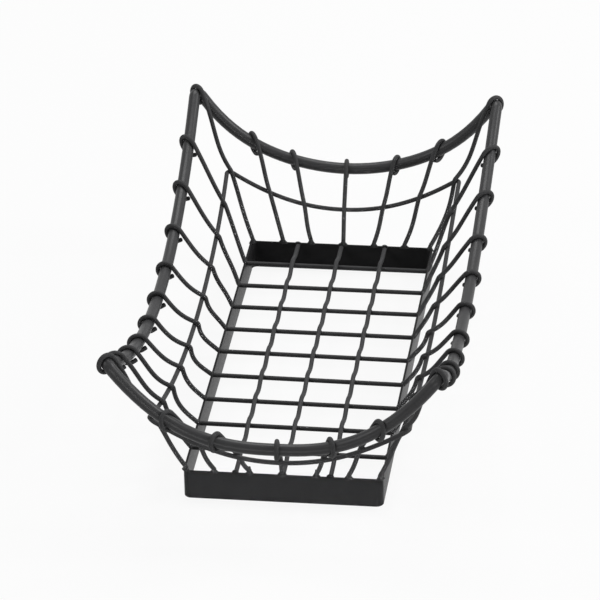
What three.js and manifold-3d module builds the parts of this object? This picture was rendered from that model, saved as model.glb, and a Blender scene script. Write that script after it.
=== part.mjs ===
// Rectangular wire serving basket: a heavy rim rod bent in a saddle, a flat steel base band,
// a woven floor and flared walls of thin wire, every wall wire curled over the rim.
// Millimetres. X across, Y along the basket, Z up; the base band stands on Z = 0.
import * as THREE from 'three';
import ManifoldModule from 'manifold-3d';

// Stock
const wireDiameter = 2.4;
const rodDiameter = 6.5;
const contactGap = 0.3; // left between pieces that are welded or bent against each other

// Base band, over its outer faces
const bandLength = 262.5;
const bandWidth = 105;
const bandHeight = 15;
const bandThickness = 1.2;
const bandCornerRadius = 4;
const weldSink = 0.9; // how far a floor wire sinks into the top edge of the band

// Mesh
const cellsAlong = 10; // from end to end of the long walls
const cellsAcrossFloor = 4;
const cellsAcrossEnds = 6; // from corner to corner of an end wall
const floorWireShare = 0.955; // pitch of the wires along the floor, as a share of an even split
const endFootShare = 1.03; // the same for the feet of the end wall wires
const outerEndShare = 0.95; // the same for the curls of the outer two wires of an end

// Middle ring, on the wire's centre line
const ringFlareAcross = 13.7; // how far its corners stand out beyond the band
const ringFlareAlong = 13.25;
const ringCornerHeight = 55;
const ringSideDip = 23;
const ringEndDip = 23;
const ringSideCurve = 1.95;
const ringEndCurve = 2.1;
const ringSideHollow = 0.6; // how far the long sides bow inward
const ringBendRadius = 3;

// Rim, on the rod's centre line
const rimFlareAcross = 34.5; // how far its corners stand out beyond the band
const rimFlareAlong = 30.5;
const rimCornerHeight = 98.6;
const rimSideDip = 51.6;
const rimEndDip = 48.7;
const rimSideCurve = 2.05;
const rimEndCurve = 2.85;
const rimSideHollow = 2.3;
const rimBendRadius = 4.2;

// How the wall wires are bent
const curlSlack = 0.45; // the curls stand this much further off the rod than the contact gap
const cornerCurlSlack = 1.15; // the same at the corners, where the rod bends inside the curl
const curlExit = 60; // slope in degrees where a wire leaves its curl
const curlPastBottom = 25; // degrees that a curl wraps on beyond the lowest point of the rod
const tailLength = 2.5; // straight end of a wire after its curl
const shoulderShare = 0.54; // slope just above the ring, as a share of the slope up to the rim
const crimpDrop = 87; // slope just below the ring
const arrivalEase = 0.7; // how far the slope at the band eases towards 45 degrees
// Share of these bends that a wire takes above and below the ring; 0 is a straight run
const sideBow = { upper: 0.7, lower: 0.7 };
const cornerBow = { upper: 0.7, lower: 0.1 };
const endBow = { upper: 0.12, lower: 0.12 };
const footSplay = 4; // how much more a wire leans along its wall at the foot than over its height
const curlHandle = 0.48; // stiffness of a wire's free run at the curl, as a share of its length
const shoulderHandle = 0.36; // the same just above the ring
const crimpHandle = 0.4; // the same just below the ring
const footHandle = 0.42; // the same just above the band
const footBendRadius = 2;
const flareRadius = 1.8; // of the weld at the foot of a wire that stands on the band
const flareHeight = 1.6;
const floorWireEndGap = 0.4;

// Facets
const wireSides = 6;
const rodSides = 8;
const rimSteps = { side: 14, end: 10, bend: 6 };
const ringSteps = { side: 12, end: 8, bend: 4 };
const curlSteps = 10;
const crimpSteps = 3;
const runSteps = 5;
const footBendSteps = 3;
const waveStepsPerCell = 4;
const strapCornerSteps = 6;

// Finish: charcoal powder coat on steel
const coatColour = 0x26282a;
const coatRoughness = 0.55;
const coatMetalness = 0.35;

// Derived sizes
const wireRadius = wireDiameter / 2;
const rodRadius = rodDiameter / 2;
const wirePitch = wireDiameter + contactGap; // centre to centre where two wires cross
const curlRadius = rodRadius + wireRadius + contactGap + curlSlack;
const cornerCurlRadius = rodRadius + wireRadius + contactGap + cornerCurlSlack;
const floorHeight = bandHeight + wireRadius - weldSink; // centre line of the crosswise wires
const strapX = (bandWidth - bandThickness) / 2; // middle of the strap's thickness
const strapY = (bandLength - bandThickness) / 2;
const strapCornerRadius = bandCornerRadius - bandThickness / 2;
const standingFootHeight = bandHeight + contactGap;
const floorWirePitch = (bandWidth / cellsAcrossFloor) * floorWireShare;
const endFootPitch = (bandWidth / cellsAcrossEnds) * endFootShare;
const ringWidth = bandWidth + 2 * ringFlareAcross;
const ringLength = bandLength + 2 * ringFlareAlong;
const rimWidth = bandWidth + 2 * rimFlareAcross;
const rimLength = bandLength + 2 * rimFlareAlong;

const booleans = await ManifoldModule();
booleans.setup();
const { Manifold, Mesh: ManifoldMesh } = booleans;

const up = new THREE.Vector3(0, 0, 1);
const vec = (x, y, z) => new THREE.Vector3(x, y, z);
const radians = THREE.MathUtils.degToRad;
const degrees = THREE.MathUtils.radToDeg;

// A rectangular hoop whose four sides dip between raised corners.
// Each side is given as a function of u from -1 to 1, its height following |u| to a power.
// Seen from above the ends are straight and the long sides bow inward.
class SaddleHoop {
  constructor(sizes) {
    Object.assign(this, sizes);
  }

  // side: sx = 1 or -1 for the long sides, 0 for the ends, where sy = 1 or -1
  pointOn(sx, sy, u) {
    const dip = sx ? this.sideDip : this.endDip;
    const curve = sx ? this.sideCurve : this.endCurve;
    const z = this.cornerHeight - dip * (1 - Math.abs(u) ** curve);
    const hollow = this.sideHollow * (1 - u * u);
    return sx
      ? vec(sx * (this.width / 2 - hollow), (u * this.length) / 2, z)
      : vec((u * this.width) / 2, (sy * this.length) / 2, z);
  }

  tangentOn(sx, sy, u) {
    const h = 1e-3;
    return this.pointOn(sx, sy, u + h).sub(this.pointOn(sx, sy, u - h)).normalize();
  }

  // The bend that joins the long side sx to the end sy, as a cubic close to a round arc
  corner(sx, sy) {
    const nearCorner = 0.95;
    const alongSide = this.tangentOn(sx, 0, sy * nearCorner).multiplyScalar(sy);
    const alongEnd = this.tangentOn(0, sy, sx * nearCorner).multiplyScalar(-sx);
    const turn = alongSide.angleTo(alongEnd);
    const reach = this.bendRadius * Math.tan(turn / 2);
    const uSide = sy * (1 - (reach * alongSide.dot(vec(0, sy, 0))) / (this.length / 2));
    const uEnd = sx * (1 - (reach * alongEnd.dot(vec(-sx, 0, 0))) / (this.width / 2));
    const start = this.pointOn(sx, 0, uSide);
    const finish = this.pointOn(0, sy, uEnd);
    const startWay = this.tangentOn(sx, 0, uSide).multiplyScalar(sy);
    const finishWay = this.tangentOn(0, sy, uEnd).multiplyScalar(-sx);
    const handle = (4 / 3) * Math.tan(turn / 4) * this.bendRadius;
    const bend = new THREE.CubicBezierCurve3(
      start,
      start.clone().addScaledVector(startWay, handle),
      finish.clone().addScaledVector(finishWay, -handle),
      finish,
    );
    return { bend, uSide, uEnd };
  }

  // All the way round, as points: the long sides and ends, and the four bends between them
  outline(steps) {
    const points = [];
    const straight = (sx, sy, from, to) => {
      const count = sx ? steps.side : steps.end;
      for (let i = 1; i < count; i += 1) {
        points.push(this.pointOn(sx, sy, from + ((to - from) * i) / count));
      }
    };
    const bendPoints = (corner, reversed) => {
      const line = corner.bend.getPoints(steps.bend);
      points.push(...(reversed ? line.reverse() : line));
    };
    const backRight = this.corner(1, 1);
    const backLeft = this.corner(-1, 1);
    const frontLeft = this.corner(-1, -1);
    const frontRight = this.corner(1, -1);
    straight(1, 0, frontRight.uSide, backRight.uSide);
    bendPoints(backRight, false);
    straight(0, 1, backRight.uEnd, backLeft.uEnd);
    bendPoints(backLeft, true);
    straight(-1, 0, backLeft.uSide, frontLeft.uSide);
    bendPoints(frontLeft, false);
    straight(0, -1, frontLeft.uEnd, frontRight.uEnd);
    bendPoints(frontRight, true);
    return points;
  }
}

const ring = new SaddleHoop({
  length: ringLength,
  width: ringWidth,
  cornerHeight: ringCornerHeight,
  sideDip: ringSideDip,
  endDip: ringEndDip,
  sideCurve: ringSideCurve,
  endCurve: ringEndCurve,
  sideHollow: ringSideHollow,
  bendRadius: ringBendRadius,
});

const rim = new SaddleHoop({
  length: rimLength,
  width: rimWidth,
  cornerHeight: rimCornerHeight,
  sideDip: rimSideDip,
  endDip: rimEndDip,
  sideCurve: rimSideCurve,
  endCurve: rimEndCurve,
  sideHollow: rimSideHollow,
  bendRadius: rimBendRadius,
});

// Directions of a bar's run at each of its points
function tangentsAlong(points, closed) {
  const n = points.length;
  return points.map((point, i) => {
    const before = closed ? points[(i + n - 1) % n] : points[Math.max(i - 1, 0)];
    const after = closed ? points[(i + 1) % n] : points[Math.min(i + 1, n - 1)];
    const arriving = point.clone().sub(before).normalize();
    const leaving = after.clone().sub(point).normalize();
    return arriving.add(leaving).normalize();
  });
}

// A round bar bent through the points, capped at both ends, or closed on itself. Its radius
// is one value, or one for each point.
// Its section is carried along without twist, and a closed bar spreads the last turn evenly.
function roundBar(points, radii, sides, closed = false) {
  const radiusAt = (i) => (Array.isArray(radii) ? radii[i] : radii);
  const tangents = tangentsAlong(points, closed);
  const n = points.length;
  const normals = [];
  const first = Math.abs(tangents[0].z) < 0.9 ? up.clone() : vec(1, 0, 0);
  let normal = first.cross(tangents[0]).normalize();
  for (let i = 0; i < n; i += 1) {
    normal = normal.clone().addScaledVector(tangents[i], -normal.dot(tangents[i])).normalize();
    normals.push(normal);
  }
  let spareTurn = 0;
  if (closed) {
    const back = normal.clone().addScaledVector(tangents[0], -normal.dot(tangents[0])).normalize();
    spareTurn = Math.atan2(
      back.clone().cross(normals[0]).dot(tangents[0]),
      back.dot(normals[0]),
    );
  }
  const positions = [];
  for (let i = 0; i < n; i += 1) {
    const across = tangents[i].clone().cross(normals[i]);
    for (let s = 0; s < sides; s += 1) {
      const angle = (2 * Math.PI * s) / sides + (spareTurn * i) / n;
      const place = points[i].clone()
        .addScaledVector(normals[i], radiusAt(i) * Math.cos(angle))
        .addScaledVector(across, radiusAt(i) * Math.sin(angle));
      positions.push(place.x, place.y, place.z);
    }
  }
  const faces = [];
  const spans = closed ? n : n - 1;
  for (let i = 0; i < spans; i += 1) {
    const here = i * sides;
    const next = ((i + 1) % n) * sides;
    for (let s = 0; s < sides; s += 1) {
      const t = (s + 1) % sides;
      faces.push(here + s, here + t, next + t, here + s, next + t, next + s);
    }
  }
  if (!closed) {
    const last = (n - 1) * sides;
    for (let s = 1; s < sides - 1; s += 1) {
      faces.push(0, s + 1, s, last, last + s, last + s + 1);
    }
  }
  const geometry = new THREE.BufferGeometry();
  geometry.setAttribute('position', new THREE.Float32BufferAttribute(positions, 3));
  geometry.setIndex(faces);
  return geometry;
}

// The places that a wall wire joins, and its heading, which is level and points outward.
// At the foot the heading leans further from the wall's own outward direction.
function wireStations(foot, ringSeat, rimSeat, outward, bow) {
  const heading = rimSeat.point.clone().sub(foot).setZ(0).normalize();
  const straight = outward.clone().multiplyScalar(heading.dot(outward));
  const lean = heading.clone().sub(straight).multiplyScalar(1 + (footSplay - 1) * bow.lower);
  const footHeading = straight.add(lean).normalize();
  return { foot, ringSeat, rimSeat, heading, footHeading, bow };
}

// A place round a bar, in the upright plane that holds the heading: the angle runs from the
// heading (0) through up (90 degrees), and the place stands the given distance off the axis
function around(seat, way, angle, distance) {
  const spoke = way.clone().multiplyScalar(Math.cos(angle)).addScaledVector(up, Math.sin(angle));
  const along = spoke.dot(seat.tangent);
  return seat.point.clone().addScaledVector(spoke, distance / Math.sqrt(1 - along * along));
}

// Direction of a wire that runs down and inward at a slope in degrees
function descent(way, slope) {
  const angle = radians(slope);
  return way.clone().multiplyScalar(-Math.cos(angle)).addScaledVector(up, -Math.sin(angle));
}

function slopeBetween(low, high) {
  const run = high.clone().sub(low);
  return degrees(Math.atan2(run.z, Math.hypot(run.x, run.y)));
}

// A smooth run between two places with a given direction at each
function easedRun(start, startWay, startReach, finish, finishWay, finishReach) {
  return new THREE.CubicBezierCurve3(
    start,
    start.clone().addScaledVector(startWay, startReach),
    finish.clone().addScaledVector(finishWay, -finishReach),
    finish,
  );
}

// One wall wire, as points from the tip of its curl down to its foot.
// It hooks over the rim, runs down, crimps over the inner side of the ring and drops to the band.
function wallWire(stations, footSlope, wrapRadius = curlRadius) {
  const { foot, ringSeat, rimSeat, heading, footHeading, bow } = stations;
  const upperSlope = slopeBetween(ringSeat.point, rimSeat.point);
  const lowerSlope = slopeBetween(foot, ringSeat.point);
  const exit = THREE.MathUtils.lerp(upperSlope, curlExit, bow.upper);

  // Curl: over the rod from the inner side and back under it
  const curlStart = radians(90 + exit);
  const curlEnd = radians(-90 - curlPastBottom);
  const curl = [];
  for (let i = 0; i <= curlSteps; i += 1) {
    const angle = curlEnd + ((curlStart - curlEnd) * i) / curlSteps;
    curl.push(around(rimSeat, heading, angle, wrapRadius));
  }

  // Down to the ring and over its inner side
  const shoulder = THREE.MathUtils.lerp(upperSlope, upperSlope * shoulderShare, bow.upper);
  const drop = THREE.MathUtils.lerp(lowerSlope, crimpDrop, bow.lower);
  const crimp = [];
  for (let i = 0; i <= crimpSteps; i += 1) {
    const slope = shoulder + ((drop - shoulder) * i) / crimpSteps;
    crimp.push(around(ringSeat, heading, radians(90 + slope), wirePitch));
  }
  const curlTop = curl[curlSteps];
  const upperSpan = curlTop.distanceTo(crimp[0]);
  const upperRun = easedRun(
    curlTop, descent(heading, exit), upperSpan * curlHandle,
    crimp[0], descent(heading, shoulder), upperSpan * shoulderHandle,
  ).getPoints(runSteps).slice(1, -1);

  // Down to the foot
  const crimpEnd = crimp[crimpSteps];
  const lowerSpan = crimpEnd.distanceTo(foot);
  const lowerRun = easedRun(
    crimpEnd, descent(heading, drop), lowerSpan * crimpHandle,
    foot, descent(footHeading, footSlope), lowerSpan * footHandle,
  ).getPoints(runSteps).slice(1);

  // The curl ends in a short tail, clear of its own wire
  const tailWay = curl[0].clone().sub(curl[1]).normalize();
  const tip = curl[0].clone().addScaledVector(tailWay, tailLength);
  return [tip, ...curl, ...upperRun, ...crimp, ...lowerRun];
}

// Slope at which a wire arrives at the band
function arrivalSlope(stations) {
  const wall = slopeBetween(stations.foot, stations.ringSeat.point);
  const halfWayUp = 45;
  return THREE.MathUtils.lerp(wall, halfWayUp, arrivalEase * stations.bow.lower);
}

// Seats on a hoop, half way round a corner or at a share of the way along a side
function sideSeat(hoop, sx, sy, u) {
  return { point: hoop.pointOn(sx, sy, u), tangent: hoop.tangentOn(sx, sy, u) };
}

function cornerSeat(hoop, sx, sy) {
  const { bend } = hoop.corner(sx, sy);
  return { point: bend.getPoint(0.5), tangent: bend.getTangent(0.5) };
}

// Base band: a rounded rectangle of strap, with a seat sunk in its top edge for every
// crosswise wire
function roundedRectangle(path, width, length, radius) {
  const x = width / 2;
  const y = length / 2;
  path.moveTo(-x + radius, -y);
  path.lineTo(x - radius, -y);
  path.absarc(x - radius, -y + radius, radius, -Math.PI / 2, 0);
  path.lineTo(x, y - radius);
  path.absarc(x - radius, y - radius, radius, 0, Math.PI / 2);
  path.lineTo(-x + radius, y);
  path.absarc(-x + radius, y - radius, radius, Math.PI / 2, Math.PI);
  path.lineTo(-x, -y + radius);
  path.absarc(-x + radius, -y + radius, radius, Math.PI, (3 * Math.PI) / 2);
  return path;
}

function toManifold(geometry) {
  const position = geometry.getAttribute('position');
  const index = new Map();
  const vertices = [];
  const triangles = [];
  for (let i = 0; i < position.count; i += 1) {
    const corner = [position.getX(i), position.getY(i), position.getZ(i)];
    const key = corner.map((value) => value.toFixed(4)).join();
    if (!index.has(key)) {
      index.set(key, index.size);
      vertices.push(...corner);
    }
    triangles.push(index.get(key));
  }
  return new Manifold(new ManifoldMesh({
    numProp: 3,
    vertProperties: new Float32Array(vertices),
    triVerts: new Uint32Array(triangles),
  }));
}

function fromManifold(solid) {
  const mesh = solid.getMesh();
  const geometry = new THREE.BufferGeometry();
  geometry.setAttribute('position', new THREE.BufferAttribute(mesh.vertProperties, 3));
  geometry.setIndex(new THREE.BufferAttribute(mesh.triVerts, 1));
  return geometry;
}

function baseBand() {
  const shape = roundedRectangle(new THREE.Shape(), bandWidth, bandLength, bandCornerRadius);
  shape.holes.push(
    roundedRectangle(
      new THREE.Path(),
      bandWidth - 2 * bandThickness,
      bandLength - 2 * bandThickness,
      bandCornerRadius - bandThickness,
    ),
  );
  const strap = toManifold(new THREE.ExtrudeGeometry(shape, {
    depth: bandHeight,
    bevelEnabled: false,
    curveSegments: strapCornerSteps,
  }));
  const seatWidth = wireDiameter + 2 * contactGap;
  const seatDepth = weldSink + contactGap;
  const seats = [];
  for (let k = 1 - cellsAlong / 2; k < cellsAlong / 2; k += 1) {
    const seat = Manifold.cube([bandWidth * 2, seatWidth, seatDepth * 2], true);
    seats.push(seat.translate([0, (k * bandLength) / cellsAlong, bandHeight]));
  }
  return fromManifold(strap.subtract(Manifold.union(seats)));
}

function rimRod() {
  return roundBar(rim.outline(rimSteps), rodRadius, rodSides, true);
}

function middleRing() {
  return roundBar(ring.outline(ringSteps), wireRadius, wireSides, true);
}

// Floor wire across the basket that runs on up both walls to the rim
function crosswiseWire(k) {
  const u = (2 * k) / cellsAlong;
  const y = (u * bandLength) / 2;
  const half = (sx) => {
    const rough = vec(sx * strapX, y, floorHeight);
    const outward = vec(sx, 0, 0);
    const seats = [ring, rim].map((hoop) => sideSeat(hoop, sx, 0, u));
    const stations = wireStations(rough, ...seats, outward, sideBow);
    // The bend over the band turns from level to the way that the wire climbs
    const slope = arrivalSlope(stations);
    const climb = descent(stations.footHeading, slope).negate();
    const turn = outward.angleTo(climb);
    const aside = climb.clone().addScaledVector(outward, -climb.dot(outward)).normalize();
    const level = rough.clone().addScaledVector(outward, -footBendRadius * Math.tan(turn / 2));
    const bend = [];
    for (let i = 0; i <= footBendSteps; i += 1) {
      const angle = (turn * i) / footBendSteps;
      bend.push(level.clone()
        .addScaledVector(outward, footBendRadius * Math.sin(angle))
        .addScaledVector(aside, footBendRadius * (1 - Math.cos(angle))));
    }
    stations.foot = bend[footBendSteps];
    return [...wallWire(stations, slope), ...bend.slice(0, -1).reverse()];
  };
  return roundBar([...half(-1), ...half(1).reverse()], wireRadius, wireSides);
}

// Floor wire along the basket, crimped over every crosswise wire
function lengthwiseWire(i) {
  const x = i * floorWirePitch;
  const pitch = bandLength / cellsAlong;
  const atBand = strapY - bandThickness / 2 - contactGap;
  const atFoot = strapY - flareRadius - contactGap - floorWireEndGap;
  const end = i === 0 ? atFoot : atBand; // the middle wire stops at the foot of an end wall wire
  const total = cellsAlong * waveStepsPerCell;
  const points = [];
  for (let n = 0; n <= total; n += 1) {
    const y = (pitch * (n - total / 2)) / waveStepsPerCell;
    const overWire = Math.abs(y) < bandLength / 2 - pitch / 2;
    const wave = overWire ? (1 + Math.cos((2 * Math.PI * y) / pitch)) / 2 : 0;
    points.push(vec(x, THREE.MathUtils.clamp(y, -end, end), floorHeight + wirePitch * wave));
  }
  return roundBar(points, wireRadius, wireSides);
}

// A wire that stands on the band, its foot spread by the weld
function standingWire(stations, wrapRadius) {
  const { foot } = stations;
  const knee = foot.clone().setZ(foot.z + flareHeight);
  const upright = wallWire({ ...stations, foot: knee }, arrivalSlope(stations), wrapRadius);
  const points = [...upright, foot];
  const radii = points.map((point) => (point === foot ? flareRadius : wireRadius));
  return roundBar(points, radii, wireSides);
}

function endWallWire(sy, j) {
  const u = (2 * j) / cellsAcrossEnds;
  const outer = Math.abs(j) > cellsAcrossEnds / 2 - 2;
  return standingWire(wireStations(
    vec(j * endFootPitch, sy * strapY, standingFootHeight),
    sideSeat(ring, 0, sy, u),
    sideSeat(rim, 0, sy, outer ? u * outerEndShare : u),
    vec(0, sy, 0),
    endBow,
  ));
}

function cornerWire(sx, sy) {
  const inset = strapCornerRadius * (1 - Math.SQRT1_2);
  const foot = vec(sx * (strapX - inset), sy * (strapY - inset), standingFootHeight);
  const rimSeat = cornerSeat(rim, sx, sy);
  const outward = rimSeat.point.clone().sub(foot).setZ(0).normalize();
  const stations = wireStations(foot, cornerSeat(ring, sx, sy), rimSeat, outward, cornerBow);
  return standingWire(stations, cornerCurlRadius);
}

const basket = new THREE.Group();

function addPart(name, geometry) {
  const material = new THREE.MeshStandardMaterial({
    color: coatColour,
    roughness: coatRoughness,
    metalness: coatMetalness,
  });
  const mesh = new THREE.Mesh(geometry, material);
  mesh.name = name;
  basket.add(mesh);
}

addPart('base_band', baseBand());
addPart('rim_rod', rimRod());
addPart('middle_ring', middleRing());

const crosswiseCount = cellsAlong - 1;
for (let n = 1; n <= crosswiseCount; n += 1) {
  addPart(`crosswise_wire_${n}`, crosswiseWire(cellsAlong / 2 - n));
}

const lengthwiseCount = cellsAcrossFloor - 1;
for (let n = 1; n <= lengthwiseCount; n += 1) {
  addPart(`lengthwise_wire_${n}`, lengthwiseWire(n - cellsAcrossFloor / 2));
}

const endWireCount = cellsAcrossEnds - 1;
for (const [end, sy] of [['back', 1], ['front', -1]]) {
  for (let n = 1; n <= endWireCount; n += 1) {
    addPart(`${end}_wall_wire_${n}`, endWallWire(sy, n - cellsAcrossEnds / 2));
  }
  for (const [side, sx] of [['left', -1], ['right', 1]]) {
    addPart(`corner_wire_${end}_${side}`, cornerWire(sx, sy));
  }
}

export default basket;
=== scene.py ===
# %% [markdown]
# A rectangular serving basket of bent and welded steel wire. A flat strap stands on edge as its
# base, thin wires cross the floor and run up the walls, and every wall wire is hooked over a
# heavy rod whose four sides dip between raised corners. The CAD model gives each piece its
# place. This lesson makes the same pieces again with round sections, rounded edges and weld
# fillets, and gives them a charcoal powder coat.

# %% Load the CAD frame
import math
from collections import namedtuple

import bmesh
import bpy
from mathutils import Matrix, Vector


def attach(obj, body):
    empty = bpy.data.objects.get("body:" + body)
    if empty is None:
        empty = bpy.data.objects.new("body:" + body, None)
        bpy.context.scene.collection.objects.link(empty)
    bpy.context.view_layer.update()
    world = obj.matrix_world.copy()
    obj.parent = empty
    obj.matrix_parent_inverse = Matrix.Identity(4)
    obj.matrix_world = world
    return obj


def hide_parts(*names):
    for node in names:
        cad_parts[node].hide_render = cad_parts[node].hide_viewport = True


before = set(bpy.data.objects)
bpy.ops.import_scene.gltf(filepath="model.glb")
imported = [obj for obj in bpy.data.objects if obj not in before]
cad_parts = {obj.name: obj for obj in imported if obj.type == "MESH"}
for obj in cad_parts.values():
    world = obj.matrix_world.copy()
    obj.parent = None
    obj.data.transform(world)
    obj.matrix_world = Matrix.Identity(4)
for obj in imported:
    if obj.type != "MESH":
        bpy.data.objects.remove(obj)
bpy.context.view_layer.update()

# %% [markdown]
# Every size below is in millimetres, because that is how wire is bought and bent. Blender works
# in metres, so the points are scaled once, when a path becomes a mesh.

# %% Sizes of the stock
MM = 0.001
WIRE = 1.25  # radius of the thin wire, coat and all
ROD = 3.25  # radius of the rim rod
BAND_LENGTH = 262.5  # the base strap, over its outer faces
BAND_WIDTH = 106.0
BAND_HEIGHT = 16.5
BAND_THICKNESS = 1.2
BAND_CORNER = 4.0
FLOOR_HEIGHT = 15.3  # centre line of the wires that cross the floor, sunk in the strap's edge
STRAP_X = (BAND_WIDTH - BAND_THICKNESS) / 2
STRAP_Y = (BAND_LENGTH - BAND_THICKNESS) / 2
CELLS_ALONG = 10  # meshes of the floor, counted along the basket
CELLS_ACROSS = 4
CELLS_ENDS = 6  # meshes of an end wall
FLOOR_PITCH = 25.1  # between the wires that run along the floor
FOOT_PITCH = 18.0  # between the feet of an end wall's wires
WELDED = 2 * WIRE - 0.1  # centre to centre where two wires are welded across each other
UP = Vector((0, 0, 1))

# %% [markdown]
# The camera comes before the pieces, so that every early look is taken from where the
# photographer stood: a little to the right of the long axis and 28 degrees above the table,
# with a long lens. The three angles and the distance were solved from the corners of the base,
# the rim and the floor mesh. They are turned into a matrix, since a camera looks along its own
# minus Z with Y up.

# %% Camera
HEADING, HEIGHT_ANGLE, ROLL = (math.radians(a) for a in (7.868, 28.377, -1.26))
FOCAL_PIXELS = 4437.8
FRAME_PIXELS = 600
SENSOR_WIDTH = 36
OFFSET = Vector((7.704, 44.437, 2451.24)) * MM  # the base's middle: right, down and ahead


def camera_matrix():
    level = Matrix.Rotation(-HEADING, 3, "Z")
    right = Vector((1, 0, 0))
    down = Vector((0, -math.sin(HEIGHT_ANGLE), -math.cos(HEIGHT_ANGLE)))
    ahead = Vector((0, math.cos(HEIGHT_ANGLE), -math.sin(HEIGHT_ANGLE)))
    view = Matrix.Rotation(ROLL, 3, "Z") @ Matrix((right, down, ahead)) @ level
    turned = Matrix((view[0], -view[1], -view[2])).transposed()
    place = -(view.transposed() @ OFFSET)
    return Matrix.Translation(place) @ turned.to_4x4()


camera_data = bpy.data.cameras.new("photographer")
camera_data.sensor_width = SENSOR_WIDTH
camera_data.lens = SENSOR_WIDTH * FOCAL_PIXELS / FRAME_PIXELS
camera_data.clip_start = 0.05
camera_data.clip_end = 50
camera = bpy.data.objects.new("photographer", camera_data)
camera.matrix_world = camera_matrix()
bpy.context.scene.collection.objects.link(camera)
bpy.context.scene.camera = camera
bpy.context.scene.view_settings.view_transform = "Standard"
print("lens", round(camera_data.lens, 1), "mm, place", [round(v, 3) for v in camera.location])

# %% [markdown]
# Two kinds of node tree are built below: shaders, and Geometry Nodes. Both are easier to read
# as sums than as lists of links. So one small class wraps an output socket, and a sum or a
# product written on it adds the Math node. A second class adds any other node: its settings go
# first, because some of them change which sockets the node has.

# %% Node trees written as expressions
class Signal:
    """An output socket that can stand in an expression."""

    def __init__(self, tree, socket):
        self.tree = tree
        self.socket = socket

    def __add__(self, other):
        return self.tree.maths("ADD", self, other)

    def __sub__(self, other):
        return self.tree.maths("SUBTRACT", self, other)

    def __rsub__(self, other):
        return self.tree.maths("SUBTRACT", other, self)

    def __mul__(self, other):
        return self.tree.maths("MULTIPLY", self, other)

    def __truediv__(self, other):
        return self.tree.maths("DIVIDE", self, other)

    def __pow__(self, other):
        return self.tree.maths("POWER", self, other)

    def __lt__(self, other):
        return self.tree.maths("LESS_THAN", self, other)

    def __abs__(self):
        return self.tree.maths("ABSOLUTE", self)

    __radd__ = __add__
    __rmul__ = __mul__


class Tree:
    """A node tree that gives back each new node's output as a Signal."""

    def __init__(self, nodes_and_links):
        self.tree = nodes_and_links

    def add(self, kind, settings=None, inputs=None, output=0):
        node = self.tree.nodes.new(kind)
        for name, value in (settings or {}).items():
            setattr(node, name, value)
        for name, value in (inputs or {}).items():
            if isinstance(value, Signal):
                self.tree.links.new(value.socket, node.inputs[name])
            else:
                node.inputs[name].default_value = value
        return Signal(self, node.outputs[output]) if node.outputs else node

    def maths(self, operation, *terms):
        return self.add("ShaderNodeMath", {"operation": operation}, dict(enumerate(terms)))


# %% [markdown]
# The backdrop is white and shows no edge between table and wall. Here the world and the floor
# both turn white for rays that come from the camera or from a gloss, which leaves the light on
# the basket as it is. The floor keeps a small share of matt white, so that the basket's own
# shadow still falls on it.

# %% World and floor
WORLD_LIGHT = 0.06
TABLE_SHADE = 0.6
TABLE_GLOW = 0.9  # share of the table that turns plain white for those rays
TABLE_REACH = 6.0


def seen_directly(tree):
    path = [tree.add("ShaderNodeLightPath", output=name) for name in (
        "Is Camera Ray", "Is Glossy Ray", "Is Transmission Ray")]
    total = path[0] + path[1] + path[2]
    return tree.maths("MINIMUM", total, 1.0)


world = bpy.data.worlds.new("studio")
world.use_nodes = True
world.node_tree.nodes.clear()
sky = Tree(world.node_tree)
strength = seen_directly(sky) * (1 - WORLD_LIGHT) + WORLD_LIGHT
glow = sky.add("ShaderNodeBackground", None, {"Color": (1, 1, 1, 1), "Strength": strength})
sky.add("ShaderNodeOutputWorld", None, {"Surface": glow})
bpy.context.scene.world = world

floor_paint = bpy.data.materials.new("white_table")
floor_paint.use_nodes = True
floor_paint.node_tree.nodes.clear()
table = Tree(floor_paint.node_tree)
matt = table.add("ShaderNodeBsdfDiffuse", None, {"Color": (TABLE_SHADE,) * 3 + (1,)})
plain_white = table.add("ShaderNodeEmission", None, {"Color": (1, 1, 1, 1), "Strength": 1.0})
glowing = seen_directly(table) * TABLE_GLOW
mixed = table.add("ShaderNodeMixShader", None, {0: glowing, 1: matt, 2: plain_white})
table.add("ShaderNodeOutputMaterial", None, {"Surface": mixed})

floor_mesh = bpy.data.meshes.new("table_top")
floor_mesh.from_pydata(
    [(x * TABLE_REACH, y * TABLE_REACH, 0) for x, y in ((-1, -1), (1, -1), (1, 1), (-1, 1))],
    [], [(0, 1, 2, 3)])
floor_mesh.materials.append(floor_paint)
table_top = bpy.data.objects.new("table_top", floor_mesh)
bpy.context.scene.collection.objects.link(table_top)
print("world light", WORLD_LIGHT, "table", TABLE_REACH * 2, "m across")

# %% [markdown]
# In the photograph the faces that look to the right are the brightest, the tops of the rods
# carry a soft streak, and the front is dim. Two lamps on the right give the first, the lower
# one for the upright faces of the strap. A broad one overhead and behind gives the streak. A
# weaker one on the left opens the shadows. The last two are long and low: they light the
# strap's front face and the front of the rods, and hardly reach the table. Their places and
# sizes are in metres, and all of them face the middle of the base.

# %% Lamps
def lamp(name, place, watts, width, height, spread=180):
    data = bpy.data.lights.new(name, "AREA")
    data.shape = "RECTANGLE"
    data.size = width
    data.size_y = height
    data.energy = watts
    data.spread = math.radians(spread)
    holder = bpy.data.objects.new(name, data)
    holder.location = place
    holder.rotation_euler = (-Vector(place)).to_track_quat("-Z", "Y").to_euler()
    holder.visible_camera = False
    bpy.context.scene.collection.objects.link(holder)
    print("lamp", name, watts, "W")


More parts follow.
